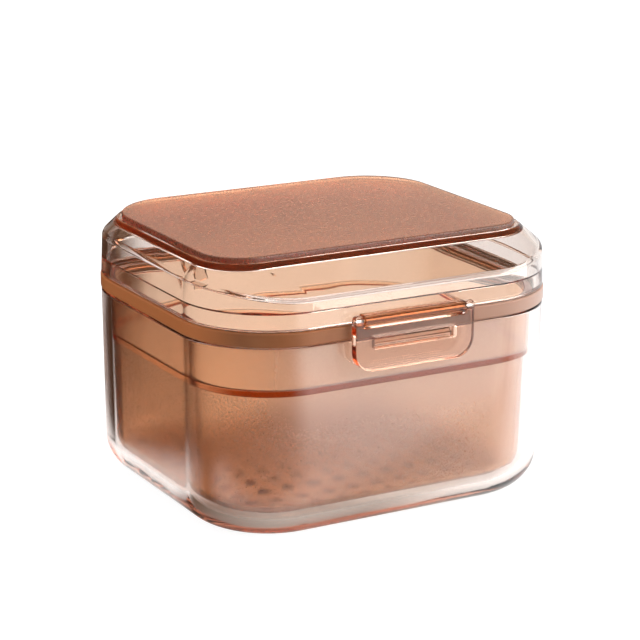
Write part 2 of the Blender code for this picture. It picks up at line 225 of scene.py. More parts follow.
class Nodes:
    """The nodes of a material or of the world."""

    def __init__(self, tree):
        self.tree = tree

    def plug(self, given, socket):
        """Gives a socket a plain value or another node's output."""
        if isinstance(given, bpy.types.NodeSocket):
            self.tree.links.new(given, socket)
        else:
            socket.default_value = given

    def add(self, kind, inputs=(), **settings):
        """Adds a node with its settings, and fills its inputs by name or number."""
        node = self.tree.nodes.new("ShaderNode" + kind)
        for name, setting in settings.items():
            setattr(node, name, setting)
        for socket, given in dict(inputs).items():
            self.plug(given, node.inputs[socket])
        return node

    def place(self):
        """The place on the piece, in its own coordinates."""
        return self.add("TexCoord").outputs["Object"]

    def number(self, operation, *values):
        """What a Math node works out."""
        return self.add("Math", enumerate(values), operation=operation).outputs["Value"]

    def vector(self, operation, *values, output="Vector"):
        """What a Vector Math node works out."""
        return self.add("VectorMath", enumerate(values), operation=operation).outputs[output]

    def product(self, *shares):
        """Shares multiplied with each other."""
        total = shares[0]
        for share in shares[1:]:
            total = self.number("MULTIPLY", total, share)
        return total

    def ranged(self, value, low, high, low_share=0, high_share=1, easing="LINEAR"):
        """A share that changes while the value goes from low to high."""
        inputs = {
            "Value": value, "From Min": low, "From Max": high,
            "To Min": low_share, "To Max": high_share}
        return self.add("MapRange", inputs, interpolation_type=easing).outputs["Result"]

    def share_along(self, axis, low, high, low_share=0, high_share=1):
        """A share that changes between two places along an axis of the piece."""
        axes = self.add("SeparateXYZ", {"Vector": self.place()})
        return self.ranged(axes.outputs[axis], low, high, low_share, high_share)

    def mix(self, kind, share, first, second):
        """Mixes two numbers or two colours by a share."""
        inputs = zip(MIX_SOCKETS[kind], (share, first, second))
        return self.add("Mix", inputs, data_type=kind).outputs[MIX_RESULTS[kind]]

    def noise(self, size, detail, stretch=(1, 1, 1)):
        """Noise whose grains are about that size."""
        mapping = self.add("Mapping", {"Vector": self.place(), "Scale": stretch})
        inputs = {"Vector": mapping.outputs["Vector"], "Scale": 1 / size, "Detail": detail}
        return self.add("TexNoise", inputs).outputs["Fac"]

    def two_tones(self, value, low_tone, high_tone, span=NOISE_MIDDLE):
        """A ramp between two colours."""
        ramp = self.add("ValToRGB", {"Fac": value})
        for stop, place, tone in zip(ramp.color_ramp.elements, span, (low_tone, high_tone)):
            stop.position = place
            stop.color = tone
        return ramp.outputs["Color"]


class Look(Nodes):
    """The material of a piece."""

    def __init__(self, name):
        self.material = bpy.data.materials.new(name)
        self.material.use_nodes = True
        super().__init__(self.material.node_tree)

    def finish(self, sockets):
        """Fills sockets of the shader, by their names."""
        shader = self.tree.nodes["Principled BSDF"]
        for socket, given in sockets.items():
            self.plug(given, shader.inputs[socket])

    def bump(self, height, depth, strength=1.0):
        inputs = {"Height": height, "Distance": depth, "Strength": strength}
        self.finish({"Normal": self.add("Bump", inputs).outputs["Normal"]})

    def tint_by_depth(self, tint, density):
        absorption = self.add("VolumeAbsorption", {"Color": tint, "Density": density})
        output = self.tree.nodes["Material Output"]
        self.plug(absorption.outputs["Volume"], output.inputs["Volume"])


print("kinds of mix:", sorted(MIX_SOCKETS))

# %% [markdown]
# The clear pieces are one moulded plastic. What makes such plastic look real is its depth: a
# thin wall is nearly colourless, and an edge seen along its length is dark orange. So the tint
# isn't painted on the surface. It is a volume absorption, which takes more light the longer
# the way through the plastic is. A slow, faint bump stands for the flow of the moulding. A
# smaller piece has a denser tint, so that it keeps its colour beside the large ones.

# %% Clear plastic
PLASTIC_IOR = 1.53
CLEAR_TONE = (1, 0.985, 0.975, 1)
BOX_TINT = (0.85, 0.50, 0.33, 1)
BOX_DENSITY = 28
LID_TINT = (0.85, 0.45, 0.15, 1)
LID_DENSITY = 56
LATCH_TINT = (0.85, 0.42, 0.13, 1)
LATCH_DENSITY = 150
SMEAR_SIZE = 9 * MM
SMEAR_DETAIL = 3
SMEAR_ROUGHNESS = (0.0, 0.035)
FLOW_SIZE = 16 * MM
FLOW_DETAIL = 1
FLOW_STRETCH = (1, 1, 0.5)
FLOW_DEPTH = 0.12 * MM


def clear_plastic(name, tint, density):
    look = Look(name)
    smear = look.noise(SMEAR_SIZE, SMEAR_DETAIL)
    look.finish({
        "Base Color": CLEAR_TONE,
        "Transmission Weight": 1,
        "IOR": PLASTIC_IOR,
        "Roughness": look.ranged(smear, *NOISE_MIDDLE, *SMEAR_ROUGHNESS)})
    look.bump(look.noise(FLOW_SIZE, FLOW_DETAIL, FLOW_STRETCH), FLOW_DEPTH)
    look.tint_by_depth(tint, density)
    return look


box_plastic = clear_plastic("clear rose plastic of the box", BOX_TINT, BOX_DENSITY)
lid_plastic = clear_plastic("clear amber plastic of the lid", LID_TINT, LID_DENSITY)
latch_plastic = clear_plastic("clear amber plastic of the latch", LATCH_TINT, LATCH_DENSITY)
for plastic in (box_plastic, lid_plastic, latch_plastic):
    print(plastic.material.name)

# %% [markdown]
# Knuckles, bores and pins are round bars along X. Arms and ribs are flat outlines that are
# extruded along X. Both come from one bmesh operator and one transform, so each gets a small
# function that every hinge below uses. Their edges are rounded where they show.

# %% Bars and ribs
KNUCKLE_STEPS = 48


def rims_across(bm, axis):
    """The edges that lie square to an axis, which is given by its number."""
    return [rim for rim in bm.edges if abs(rim.verts[0].co[axis] - rim.verts[1].co[axis]) < JOIN]


def rod(radius, x_low, x_high, y, z, edge=0):
    """A round bar along X, with its end edges rounded by edge."""
    bm = bmesh.new()
    bmesh.ops.create_cone(
        bm, cap_ends=True, segments=KNUCKLE_STEPS, radius1=radius, radius2=radius,
        depth=x_high - x_low)
    if edge:
        round_edges(bm, rims_across(bm, 2), edge, EDGE_STEPS)
    bmesh.ops.rotate(bm, matrix=Matrix.Rotation(math.pi / 2, 3, "Y"), verts=bm.verts)
    bmesh.ops.translate(bm, vec=((x_low + x_high) / 2, y, z), verts=bm.verts)
    return bm


def rib(outline, x_low, x_high, edge=0):
    """A flat outline in Y and Z, extruded along X, with all its edges rounded by edge."""
    bm = bmesh.new()
    face = bm.faces.new([bm.verts.new((x_low, y, z)) for y, z in outline])
    drawn = bmesh.ops.extrude_face_region(bm, geom=[face])["geom"]
    bmesh.ops.translate(bm, vec=(x_high - x_low, 0, 0), verts=only(bmesh.types.BMVert, drawn))
    if edge:
        round_edges(bm, list(bm.edges), edge, EDGE_STEPS)
    return bm


print("a round bar has", KNUCKLE_STEPS, "sides")

# %% [markdown]
# The outer box is a thick clear cup. Its foot is rounded on the outside with a large radius and
# on the inside with a smaller one, which makes the heavy clear base of the real case. At the
# rim a thin neck stands inside the seal band, and a ledge inside it carries the basket. A
# solid with a bevel and a solidify would give one even wall, so the whole wall is drawn as a
# section instead.

# %% Section of the outer box
RIM_HEIGHT = 48.4 * MM
RIM_ROUND = 0.4 * MM
BOX_WALL = 2.7 * MM
BOX_FLOOR = 3.4 * MM
BOX_DRAFT = 0.5 * MM
FOOT_ROUND = 9.5 * MM
FLOOR_ROUND = 6.0 * MM
FLAT_START = 2 * MM
NECK_TOP = 51.9 * MM
NECK_INSET = 1.1 * MM
POCKET_INSET = 2.0 * MM
LEDGE_HEIGHT = 50.0 * MM
EDGE_ROUND = 0.25 * MM


def box_cup():
    bm = bmesh.new()
    draw_section(bm, [
        (BOX_DRAFT + FOOT_ROUND + FLAT_START, 0, 0),
        (BOX_DRAFT, 0, FOOT_ROUND),
        (0, RIM_HEIGHT, RIM_ROUND),
        (NECK_INSET, RIM_HEIGHT, EDGE_ROUND),
        (NECK_INSET, NECK_TOP, EDGE_ROUND),
        (POCKET_INSET, NECK_TOP, EDGE_ROUND),
        (POCKET_INSET, LEDGE_HEIGHT, 0),
        (BOX_WALL, LEDGE_HEIGHT, EDGE_ROUND),
        (BOX_WALL + BOX_DRAFT, BOX_FLOOR, FLOOR_ROUND),
        (BOX_WALL + BOX_DRAFT + FLOOR_ROUND + FLAT_START, BOX_FLOOR, 0)])
    sweep_round_case(bm)
    return mesh_object(bm, "outer_box_fine")


box = box_cup()
print("box cup:", len(box.data.polygons), "faces")

# %% [markdown]
# Two knuckles at the back carry the hinge pin. Each stands on an arm that comes out of the
# wall, and the lid's knuckle turns between them. In front, a low rib is the catch that the
# latch's slot snaps over. All of them are joined to the cup and the pin's bore is cut, so the
# box is one moulding, as it is in reality.

# %% Hinge and catch of the box
HINGE_Y = 46.25 * MM
HINGE_Z = 52.45 * MM
HINGE_RADIUS = 2.4 * MM
HINGE_HALF_SPAN = 16.5 * MM
HINGE_BORE = 1.1 * MM
BOX_KNUCKLE_WIDTH = 5.6 * MM
BOX_ARM_DROP = 9.5 * MM
BOX_ARM_ANGLE = -30
CATCH_LOW = 46.8 * MM
CATCH_NOSE = 47.4 * MM
CATCH_HIGH = 48.2 * MM
CATCH_REACH = 1.6 * MM
CATCH_TIP = 0.8 * MM
CATCH_HALF = 10.8 * MM
CATCH_ROUND = 0.12 * MM
PLAY = 0.3 * MM
SINK = 0.6 * MM


def hinge_point(angle):
    """A point of the knuckle's round, at an angle in degrees from +Y towards +Z."""
    turn = math.radians(angle)
    return (HINGE_Y + HINGE_RADIUS * math.cos(turn), HINGE_Z + HINGE_RADIUS * math.sin(turn))


def add_catch(cup):
    catch = [
        (-HALF_DEPTH + SINK, CATCH_LOW), (-HALF_DEPTH - CATCH_REACH, CATCH_LOW),
        (-HALF_DEPTH - CATCH_REACH, CATCH_NOSE), (-HALF_DEPTH - CATCH_TIP, CATCH_HIGH),
        (-HALF_DEPTH + SINK, CATCH_HIGH)]
    combine(cup, mesh_object(rib(catch, -CATCH_HALF, CATCH_HALF, CATCH_ROUND), "catch"), "UNION")


def add_box_knuckles(cup):
    face = HINGE_Y - HINGE_RADIUS
    root = HALF_DEPTH - SINK - BOX_DRAFT
    arm_low = HINGE_Z - BOX_ARM_DROP
    arm_high = RIM_HEIGHT - SINK
    arm = [
        (root, arm_low), (HALF_DEPTH + SINK, arm_low), hinge_point(BOX_ARM_ANGLE),
        (HINGE_Y, HINGE_Z), (face, HINGE_Z), (face, arm_high), (root, arm_high)]
    inner = HINGE_HALF_SPAN - BOX_KNUCKLE_WIDTH
    for low, high in ((-HINGE_HALF_SPAN, -inner), (inner, HINGE_HALF_SPAN)):
        combine(cup, mesh_object(rib(arm, low, high), "arm"), "UNION")
        barrel = rod(HINGE_RADIUS, low, high, HINGE_Y, HINGE_Z)
        combine(cup, mesh_object(barrel, "barrel"), "UNION")
    bore = rod(HINGE_BORE, -HALF_WIDTH, HALF_WIDTH, HINGE_Y, HINGE_Z)
    combine(cup, mesh_object(bore, "bore"), "DIFFERENCE")


add_catch(box)
add_box_knuckles(box)
finish_piece(box, box_plastic, "box", "outer_box")

# %% [markdown]
# The basket and the lid's panel are frosted on the outside, so they show light and colour but
# no detail. Two things make frosted plastic: light that goes through is scattered by a rough
# surface, and a small share is thrown back by the matt skin, which gives the pale haze. A fine
# grain varies both. A frosted sheet could also be a thin matt film on a clear solid, but then
# every wall would be two surfaces more for a ray to cross. The inside of the piece is smooth.
# A surface that faces away from the piece's middle is taken as outside.

# %% Frosted plastic
FROST_IOR = 1.46
FROST_GLOSS = 0.35
FROST_TINT = (0.93, 0.49, 0.06, 1)
FROST_SPREAD = 0.05
MOST_HAZE_SHARE = 1.8
LEAST_HAZE_SHARE = 0.2
GRAIN_DETAIL = 2
GRAIN_DEPTH = 0.012 * MM
INSIDE_ROUGH = 0.06


def outside_share(look, middle):
    """1 where the surface faces away from the middle of the piece, and 0 where it faces in."""
    spot = look.add("TexCoord")
    apart = look.vector("SUBTRACT", spot.outputs["Object"], middle)
    facing = look.vector("DOT_PRODUCT", apart, spot.outputs["Normal"], output="Value")
    return look.number("GREATER_THAN", facing, 0)


def frosted_plastic(name, tones, density, grain_size, haze, rough):
    """Starts a frosted look, and gives its tone, its clearness and its roughness outside.

    haze is the share of light that the matt skin throws back, a little more or less at each
    grain.
    """
    look = Look(name)
    look.finish({"IOR": FROST_IOR, "Specular IOR Level": FROST_GLOSS})
    grain = look.noise(grain_size, GRAIN_DETAIL)
    look.bump(grain, GRAIN_DEPTH)
    look.tint_by_depth(FROST_TINT, density)
    clear = look.ranged(
        grain, *NOISE_MIDDLE, 1 - MOST_HAZE_SHARE * haze, 1 - LEAST_HAZE_SHARE * haze)
    matt = look.ranged(grain, *NOISE_MIDDLE, rough - FROST_SPREAD, rough + FROST_SPREAD)
    return look, look.two_tones(grain, *tones), clear, matt


def finish_frost(look, middle, tone, clear, matt):
    """Leaves the inside clear and smooth, and gives the outside its haze and roughness."""
    outside = outside_share(look, middle)
    look.finish({
        "Base Color": tone,
        "Transmission Weight": look.mix("FLOAT", outside, 1.0, clear),
        "Roughness": look.mix("FLOAT", outside, INSIDE_ROUGH, matt)})


print("haze at a grain:", LEAST_HAZE_SHARE, "to", MOST_HAZE_SHARE, "times the haze of a look")

# %% [markdown]
# The basket's finish changes over its height and width. The collar under the band is smoother than
# the tub below the step. The haze grows towards the top and the right, a painted pale veil of the
# light that falls from the right. It thins out towards the shaded left and near the floor, so that
# the drain holes show through softly.
# The step between tub and collar is seen along its length in front, so a dark red line is painted
# there. It is a painted shade for the long way that light takes through the step. The holes' walls
# get a painted shade, which makes them darker too. They are found by folding the place onto one
# cell of their square grid, which saves a mask or a second material.

# %% Finish of the basket
STEP_LOW = 36.0 * MM
STEP_HIGH = 37.4 * MM
BLEND = 0.3 * MM
BASKET_TONES = ((0.93, 0.88, 0.84, 1), (1.0, 0.97, 0.94, 1))
BASKET_DENSITY = 415
BASKET_MIDDLE = (0, CASE_MIDDLE.y, 30 * MM)
BASKET_GRAIN = 0.42 * MM
BASKET_HAZE = 0.17
BASKET_ROUGH = 0.20
COLLAR_CLEAR = 0.92
COLLAR_ROUGH = 0.13
FULL_HAZE_SHARE = 2
HAZE_FROM_FLOOR = (14 * MM, 34 * MM)
LIT_HAZE_FROM_LEFT = (-46 * MM, -28 * MM)
LIT_HAZE_TO_RIGHT = (-15 * MM, 45 * MM)
FLOOR_ROUGH = 0.14
ROUGH_FROM_FLOOR = (10 * MM, 24 * MM)
PAINTED_STEP_SHADE = (0.42, 0.10, 0.015, 1)
STEP_FRONT = (-34 * MM, -22 * MM)
PAINTED_HOLE_SHADE = (0.42, 0.22, 0.12, 1)
HOLE_MARGIN = 1.1
DRAIN_RADIUS = 1.5 * MM
DRAIN_PITCH = 6.8 * MM
TUB_FLOOR = 6.3 * MM


def near_drain_holes(look):
    """1 close to each axis of the holes' grid, up to the top of the floor, where the holes' shade
    is painted, and 0 elsewhere.
    """
    half = DRAIN_PITCH / 2
    centred = look.vector("SUBTRACT", look.place(), CASE_MIDDLE)
    folded = look.vector("WRAP", centred, (half, half, 1), (-half, -half, -1))
    level = look.vector("MULTIPLY", folded, (1, 1, 0))
    reach = look.vector("LENGTH", level, output="Value")
    near = look.number("LESS_THAN", reach, HOLE_MARGIN * DRAIN_RADIUS)
    return look.product(near, look.share_along("Z", TUB_FLOOR, TUB_FLOOR + BLEND, 1, 0))


def painted_step_line(look):
    """1 on the front of the step, where its dark line is painted, and 0 elsewhere."""
    over = look.share_along("Z", STEP_LOW - BLEND, STEP_LOW)
    under = look.share_along("Z", STEP_HIGH, STEP_HIGH + BLEND, 1, 0)
    return look.product(over, under, look.share_along("Y", *STEP_FRONT, 1, 0))


def basket_plastic():
    look, tone, clear, matt = frosted_plastic(
        "frosted amber plastic of the basket", BASKET_TONES, BASKET_DENSITY, BASKET_GRAIN,
        BASKET_HAZE, BASKET_ROUGH)
    collar = look.share_along("Z", STEP_LOW - MM, STEP_LOW)
    clear = look.mix("FLOAT", collar, clear, COLLAR_CLEAR)
    matt = look.mix("FLOAT", collar, matt, COLLAR_ROUGH)
    # Painted veil of light: more haze towards the top and the right, where the light falls, and
    # less in the shade on the left.
    inner = look.product(
        look.share_along("Z", *HAZE_FROM_FLOOR), look.share_along("X", *LIT_HAZE_FROM_LEFT))
    lit_haze = look.number("MAXIMUM", inner, look.share_along("X", *LIT_HAZE_TO_RIGHT))
    clear = look.mix("FLOAT", lit_haze, clear, 1 - FULL_HAZE_SHARE * BASKET_HAZE)
    matt = look.mix("FLOAT", look.share_along("Z", *ROUGH_FROM_FLOOR, 1, 0), matt, FLOOR_ROUGH)
    # Painted shade: the dark red line along the front of the step.
    tone = look.mix("RGBA", painted_step_line(look), tone, PAINTED_STEP_SHADE)
    # Painted shade on the walls of the drain holes.
    tone = look.mix("RGBA", near_drain_holes(look), tone, PAINTED_HOLE_SHADE)
    finish_frost(look, BASKET_MIDDLE, tone, clear, matt)
    return look


basket_look = basket_plastic()
print(basket_look.material.name)

# %% [markdown]
# The basket's section starts under its floor, climbs the tub, steps out to the collar, turns
# over the flange that rests on the ledge, and comes back down inside. The floor's drain holes
# are a square grid of round pegs, cut out in one go, because one Boolean with all the pegs is
# faster and cleaner than one for each hole.

# %% Strainer basket
FLANGE_INSET = 2.3 * MM
FLANGE_LOW = 50.3 * MM
FLANGE_HIGH = 51.5 * MM
FLANGE_ROUND = 0.4 * MM
FLANGE_UNDER_ROUND = 0.2 * MM
BASKET_WALL = 1.4 * MM
COLLAR_INSET = 3.0 * MM
COLLAR_DRAFT = 0.15 * MM
COLLAR_ROUND = 0.5 * MM
STEP_ROUND = 0.3 * MM
TUB_INSET = 4.2 * MM
TUB_DRAFT = 0.8 * MM
TUB_FOOT = 5.0 * MM
TUB_LOW = 4.9 * MM
DRAIN_COLUMNS = 4
DRAIN_ROWS = 3
DRAIN_STEPS = 24
PEG_LENGTH = 4 * BASKET_WALL


def basket_cup():
    bm = bmesh.new()
    collar_inside = COLLAR_INSET + BASKET_WALL
    tub_inside = TUB_INSET + BASKET_WALL
    draw_section(bm, [
        (TUB_INSET + TUB_DRAFT + TUB_FOOT + FLAT_START, TUB_LOW, 0),
        (TUB_INSET + TUB_DRAFT, TUB_LOW, TUB_FOOT),
        (TUB_INSET, STEP_LOW, STEP_ROUND),
        (COLLAR_INSET + COLLAR_DRAFT, STEP_LOW, COLLAR_ROUND),
        (COLLAR_INSET, FLANGE_LOW, FLANGE_UNDER_ROUND),
        (FLANGE_INSET, FLANGE_LOW, EDGE_ROUND),
        (FLANGE_INSET, FLANGE_HIGH, FLANGE_ROUND),
        (collar_inside, FLANGE_HIGH, FLANGE_ROUND),
        (collar_inside + COLLAR_DRAFT, STEP_HIGH, STEP_ROUND),
        (tub_inside, STEP_HIGH, STEP_ROUND),
        (tub_inside + TUB_DRAFT, TUB_FLOOR, TUB_FOOT - BASKET_WALL),
        (tub_inside + TUB_DRAFT + TUB_FOOT, TUB_FLOOR, 0)])
    sweep_round_case(bm)
    return mesh_object(bm, "strainer_basket_fine")


def drain_pegs():
    bm = bmesh.new()
    for column in range(-DRAIN_COLUMNS, DRAIN_COLUMNS + 1):
        for row in range(-DRAIN_ROWS, DRAIN_ROWS + 1):
            place = Vector((column * DRAIN_PITCH, row * DRAIN_PITCH, (TUB_LOW + TUB_FLOOR) / 2))
            bmesh.ops.create_cone(
                bm, cap_ends=True, segments=DRAIN_STEPS, radius1=DRAIN_RADIUS,
                radius2=DRAIN_RADIUS, depth=PEG_LENGTH, matrix=Matrix.Translation(place))
    return mesh_object(bm, "pegs")


basket = basket_cup()
combine(basket, drain_pegs(), "DIFFERENCE")
finish_piece(basket, basket_look, "basket", "strainer_basket")

# %% [markdown]
# The seal band is the one piece that isn't clear. It is a soft satin ring squeezed between the box
# and the lid, so its finish has a little light under the skin, a thin sheen and a fine bump. Its
# tone follows the photograph: it is brown, with a painted amber glow at the left end and a painted
# pale sheen that greys it towards the right, where the light falls. Its section is closed, so the
# sweep makes a ring without any filling.

# %% Seal band
BAND_LOW = 48.7 * MM
BAND_TOP = 52.3 * MM
BAND_PROUD = 0.2 * MM
BAND_INNER = 0.8 * MM
BAND_ROUND = 0.5 * MM
BAND_INNER_ROUND = 0.15 * MM
BAND_TONES = ((0.22, 0.075, 0.024, 1), (0.28, 0.10, 0.034, 1))
BAND_CLOUD = 7 * MM
BAND_CLOUD_DETAIL = 4
BAND_ROUGHNESS = (0.34, 0.46)
BAND_SKIN = 0.3 * MM
BAND_SKIN_DEPTH = 0.02 * MM
BAND_SKIN_STRENGTH = 0.5
BAND_GLOW = 0.3
BAND_GLOW_DEPTH = 1.2 * MM
BAND_GLOW_REACH = (1.0, 0.45, 0.3)
BAND_SHEEN = 0.15
BAND_SHEEN_ROUGH = 0.3
BAND_LEFT_PAINTED_GLOW = (0.50, 0.16, 0.045, 1)
BAND_LEFT = (-48.5 * MM, -42 * MM)
BAND_RIGHT_PAINTED_SHEEN = (0.29, 0.19, 0.15, 1)
BAND_RIGHT = (-10 * MM, 45 * MM)


def soft_band():
    look = Look("soft mauve seal")
    cloud = look.noise(BAND_CLOUD, BAND_CLOUD_DETAIL)
    tone = look.two_tones(cloud, *BAND_TONES)
    # Painted light: an amber glow at the left end, and a pale sheen that greys the band towards the
    # right.
    tone = look.mix("RGBA", look.share_along("X", *BAND_LEFT, 1, 0), tone, BAND_LEFT_PAINTED_GLOW)
    tone = look.mix("RGBA", look.share_along("X", *BAND_RIGHT), tone, BAND_RIGHT_PAINTED_SHEEN)
    look.finish({
        "Base Color": tone,
        "Roughness": look.ranged(cloud, *NOISE_MIDDLE, *BAND_ROUGHNESS),
        "Subsurface Weight": BAND_GLOW,
        "Subsurface Scale": BAND_GLOW_DEPTH,
        "Subsurface Radius": BAND_GLOW_REACH,
        "Coat Weight": BAND_SHEEN,
        "Coat Roughness": BAND_SHEEN_ROUGH})
    look.bump(look.noise(BAND_SKIN, GRAIN_DETAIL), BAND_SKIN_DEPTH, BAND_SKIN_STRENGTH)
    return look


def build_band():
    bm = bmesh.new()
    draw_section(bm, [
        (-BAND_PROUD, BAND_LOW, BAND_ROUND), (-BAND_PROUD, BAND_TOP, BAND_ROUND),
        (BAND_INNER, BAND_TOP, BAND_INNER_ROUND), (BAND_INNER, BAND_LOW, BAND_INNER_ROUND)],
        closed=True)
    sweep_round_case(bm)
    return mesh_object(bm, "seal_band_fine")


finish_piece(build_band(), soft_band(), "box", "seal_band")

# %% [markdown]
# The lid changes its outline as it rises: its front bevel is broad and its side bevels are
# narrow, and the corner radii differ. One section can't be swept round that, so the lid is
# built as a stack of outlines. Each one is a plain rectangle whose corners are rounded with a
# vertex bevel, and neighbours are bridged. The shoulder dips in front, where the bevel starts
# lower.

# %% Stack of outlines


def rounded_outline(bm, side, front, back, radius_front, radius_back, height):
    """Edges of a rounded outline set in from the case by side, front and back."""
    x = HALF_WIDTH - side
    front_y = -HALF_DEPTH + front
    back_y = HALF_DEPTH - back
    before = set(bm.faces)
    corners = [bm.verts.new((px, py, height)) for px, py in (
        (-x, front_y), (x, front_y), (x, back_y), (-x, back_y))]
    bm.faces.new(corners)
    round_corners(bm, corners[:2], radius_front, CORNER_STEPS)
    round_corners(bm, corners[2:], radius_back, CORNER_STEPS)
    (face,) = set(bm.faces) - before
    edges = list(face.edges)
    bmesh.ops.delete(bm, geom=[face], context="FACES_ONLY")
    return edges


def even_outline(bm, inset, height):
    radius = CORNER_RADIUS - inset
    return rounded_outline(bm, inset, inset, inset, radius, radius, height)


def dip_front(edges, radius, drop):
    """Lowers an outline in front by drop, easing down round its two front corners."""
    start = CORNER_RADIUS - HALF_DEPTH
    for vert in {vert for edge in edges for vert in edge.verts}:
        across = min(1, max(0, (start - vert.co.y) / radius))
        turn = math.asin(across) / (math.pi / 2)
        vert.co.z -= drop * (1 - math.cos(math.pi * turn)) / 2


def bridge_stack(bm, outlines):
    """Bridges each outline to the next one, closes both ends, and returns the last end's face."""
    for lower, upper in zip(outlines, outlines[1:]):
        bmesh.ops.bridge_loops(bm, edges=lower + upper)
    bmesh.ops.edgeloop_fill(bm, edges=outlines[0])
    last = bmesh.ops.edgeloop_fill(bm, edges=outlines[-1])["faces"][0]
    bmesh.ops.recalc_face_normals(bm, faces=bm.faces)
    return last


print("an outline has", CORNER_STEPS, "steps in a corner")

# %% [markdown]
# The shell of the lid is one stack that runs up the inside from the rim to the ceiling and up
# the outside from the rim to the top. A bevel leans, so its inner face lies lower than the
# wall's thickness says, and the slope of each bevel gives how much. The recess for the panel
# is an inset of the top face, pressed in by a second inset.

# %% Shell of the lid
LID_LOW = 52.6 * MM
SIDE_SHOULDER = 62.6 * MM
FRONT_SHOULDER = 60.0 * MM
LID_TOP = 66.3 * MM
LID_DRAFT = 0.4 * MM
SIDE_BEVEL = 4.4 * MM
FRONT_BEVEL = 12.6 * MM
FRONT_TOP_RADIUS = 11.9 * MM
BACK_TOP_RADIUS = 18.2 * MM
FOOT_WALL = 1.9 * MM
FOOT_HIGH = 56.2 * MM
FOOT_STEP = 0.5 * MM
LID_WALL = 1.5 * MM
TOP_WALL = 1.6 * MM
LID_CEILING = 64.3 * MM
PANEL_LAND = 0.9 * MM
PANEL_SEAT = 65.9 * MM
SHOULDER_ROUND = 0.7 * MM
INNER_SHOULDER_ROUND = 0.5 * MM
CEILING_ROUND = 0.4 * MM
LID_RIM_ROUND = 0.3 * MM
LID_INNER_RIM_ROUND = 0.2 * MM
TOP_ROUND = 0.3 * MM


def bevel_drop(inset, rise, wall):
    """How far a bevel's inner face lies below its outer face, and its slope."""
    slope = rise / inset
    return wall * math.sqrt(1 + slope * slope), slope


def lid_cup():
    side_drop, side_slope = bevel_drop(SIDE_BEVEL - LID_DRAFT, LID_TOP - SIDE_SHOULDER, TOP_WALL)
    front_drop, front_slope = bevel_drop(
        FRONT_BEVEL - LID_DRAFT, LID_TOP - FRONT_SHOULDER, TOP_WALL)
    inner_side = SIDE_SHOULDER + LID_WALL * side_slope - side_drop
    inner_front = FRONT_SHOULDER + LID_WALL * front_slope - front_drop
    ceiling_side = SIDE_BEVEL - (LID_TOP - LID_CEILING - side_drop) / side_slope
    ceiling_front = FRONT_BEVEL - (LID_TOP - LID_CEILING - front_drop) / front_slope
    wall_inset = LID_DRAFT + LID_WALL

    bm = bmesh.new()
    ceiling = rounded_outline(
        bm, ceiling_side, ceiling_front, ceiling_side, FRONT_TOP_RADIUS, BACK_TOP_RADIUS,
        LID_CEILING)
    inner_shoulder = even_outline(bm, wall_inset, inner_side)
    dip_front(inner_shoulder, CORNER_RADIUS - wall_inset, inner_side - inner_front)
    foot_step = even_outline(bm, LID_WALL, FOOT_HIGH + FOOT_STEP)
    foot_inside = even_outline(bm, FOOT_WALL, FOOT_HIGH)
    foot_rim = even_outline(bm, FOOT_WALL, LID_LOW)
    outer_rim = even_outline(bm, 0, LID_LOW)
    shoulder = even_outline(bm, LID_DRAFT, SIDE_SHOULDER)
    dip_front(shoulder, CORNER_RADIUS - LID_DRAFT, SIDE_SHOULDER - FRONT_SHOULDER)
    top = rounded_outline(
        bm, SIDE_BEVEL, FRONT_BEVEL, SIDE_BEVEL, FRONT_TOP_RADIUS, BACK_TOP_RADIUS, LID_TOP)
    top_face = bridge_stack(bm, [
        ceiling, inner_shoulder, foot_step, foot_inside, foot_rim, outer_rim, shoulder, top])
    bmesh.ops.inset_region(bm, faces=[top_face], thickness=PANEL_LAND, use_even_offset=True)
    bmesh.ops.inset_region(bm, faces=[top_face], thickness=0, depth=PANEL_SEAT - LID_TOP)
    for edges, radius in (
            (shoulder, SHOULDER_ROUND), (inner_shoulder, INNER_SHOULDER_ROUND),
            (ceiling, CEILING_ROUND), (outer_rim, LID_RIM_ROUND),
            (foot_rim, LID_INNER_RIM_ROUND), (top, TOP_ROUND)):
        round_edges(bm, edges, radius)
    return mesh_object(bm, "lid_shell_fine")


lid = lid_cup()
print("lid shell:", len(lid.data.polygons), "faces")

# %% [markdown]
# The lid has a knuckle at the back, between the two of the box, and a long one in front, which
# carries the latch. The photograph shows the front one as a brown roll between the latch's cheeks.
# A denser tint would darken the whole lid, so the surface alone gets a browner tone, only where it
# stands out in front of the case. This tone is a painted shade for the dark look of the clear roll.

# %% Knuckles of the lid
LATCH_Y = -44.95 * MM
LATCH_Z = 53.4 * MM
LATCH_RADIUS = 1.4 * MM
LATCH_HALF = 16.4 * MM
LATCH_BORE = 0.65 * MM
CHEEK_WIDTH = 2.2 * MM
LID_ARM_RISE = 5.2 * MM
LID_ARM_ANGLE = 45
KNUCKLE_PAINTED_SHADE = (0.60, 0.31, 0.16, 1)
KNUCKLE_AHEAD = (0.4 * MM, 0.2 * MM)


def add_hinge_knuckle(shell):
    half = HINGE_HALF_SPAN - BOX_KNUCKLE_WIDTH - PLAY
    arm_top = HINGE_Z + LID_ARM_RISE
    arm_low = LID_LOW + PLAY
    root = HALF_DEPTH - SINK
    arm = [
        (root, arm_top), (HALF_DEPTH + SINK, arm_top), hinge_point(LID_ARM_ANGLE),
        (HINGE_Y, HINGE_Z), (HINGE_Y - HINGE_RADIUS, arm_low), (root, arm_low)]
    combine(shell, mesh_object(rib(arm, -half, half), "arm"), "UNION")
    barrel = rod(HINGE_RADIUS, -half, half, HINGE_Y, HINGE_Z)
    combine(shell, mesh_object(barrel, "barrel"), "UNION")


